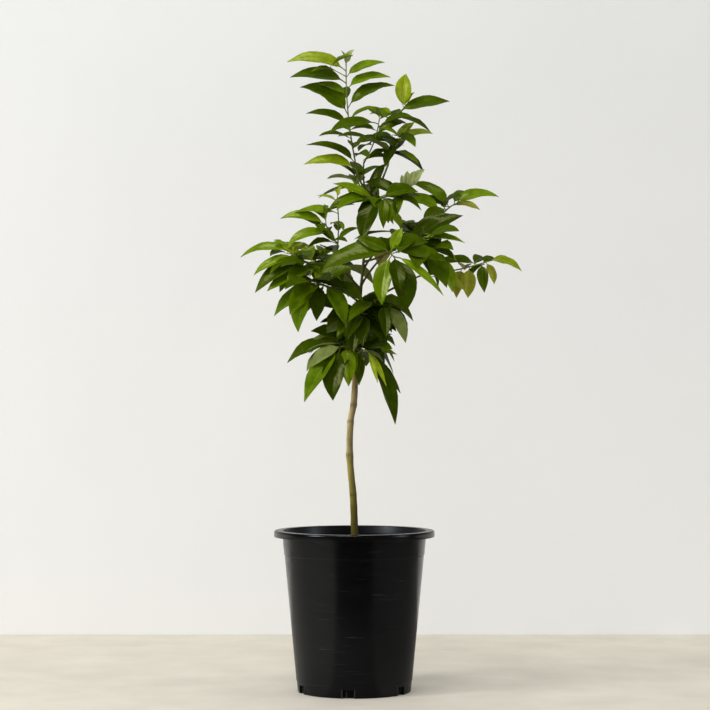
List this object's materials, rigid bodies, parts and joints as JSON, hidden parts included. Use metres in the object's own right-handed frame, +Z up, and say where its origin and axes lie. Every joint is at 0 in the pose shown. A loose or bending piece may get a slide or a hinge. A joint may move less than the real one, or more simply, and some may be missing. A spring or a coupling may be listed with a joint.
{
  "type": "potted tangelo tree",
  "caption": "Young potted tangelo tree: slender curved trunk, open crown of glossy pointed leaves on thin boughs, in a tapered black nursery pot.",
  "frame": {"origin": "middle of the pot's flat underside, where the plant stands", "axes": "+Z up through the pot and crown, +X to the right and +Y away, seen from the tree's front"},
  "size_m": [0.4471, 0.321, 1.0127],
  "materials": {
    "pot_plastic": "satin",
    "potting_mix": "matte",
    "bark": "matte",
    "green_bark": "satin",
    "leaf_young": "satin",
    "leaf_mid": "satin",
    "leaf_dark": "satin"
  },
  "bodies": {
    "root": {"pot": "pot_plastic", "soil": "potting_mix", "trunk": "bark", "bough_left_leader": "green_bark", "bough_right_leader": "green_bark", "bough_middle_leader": "green_bark", "bough_upper_right": "green_bark", "bough_right_middle": "green_bark", "bough_right_arm": "green_bark", "bough_centre_front": "green_bark", "bough_left_arm": "green_bark", "bough_left_upright": "green_bark", "bough_left_lower": "green_bark", "bough_back_left": "green_bark", "bough_back_right": "green_bark", "bough_upper_back": "green_bark", "bough_young_shoot": "green_bark", "foliage_top_left": "leaf_young", "foliage_top_middle": "leaf_mid", "foliage_top_right": "leaf_mid", "foliage_young_shoot": "leaf_young", "foliage_upper_right": "leaf_mid", "foliage_right_middle": "leaf_dark", "foliage_right_arm": "leaf_mid", "foliage_centre_front": "leaf_dark", "foliage_centre_upper": "leaf_dark", "foliage_left_arm": "leaf_mid", "foliage_left_upright": "leaf_young", "foliage_left_lower": "leaf_mid", "foliage_middle_front": "leaf_dark", "foliage_right_lower": "leaf_dark", "foliage_lower_left": "leaf_mid", "foliage_lower_right": "leaf_dark", "foliage_lower_back": "leaf_dark", "foliage_back_left": "leaf_mid", "foliage_back_right": "leaf_mid", "foliage_upper_back": "leaf_mid"}
  },
  "joints": []
}
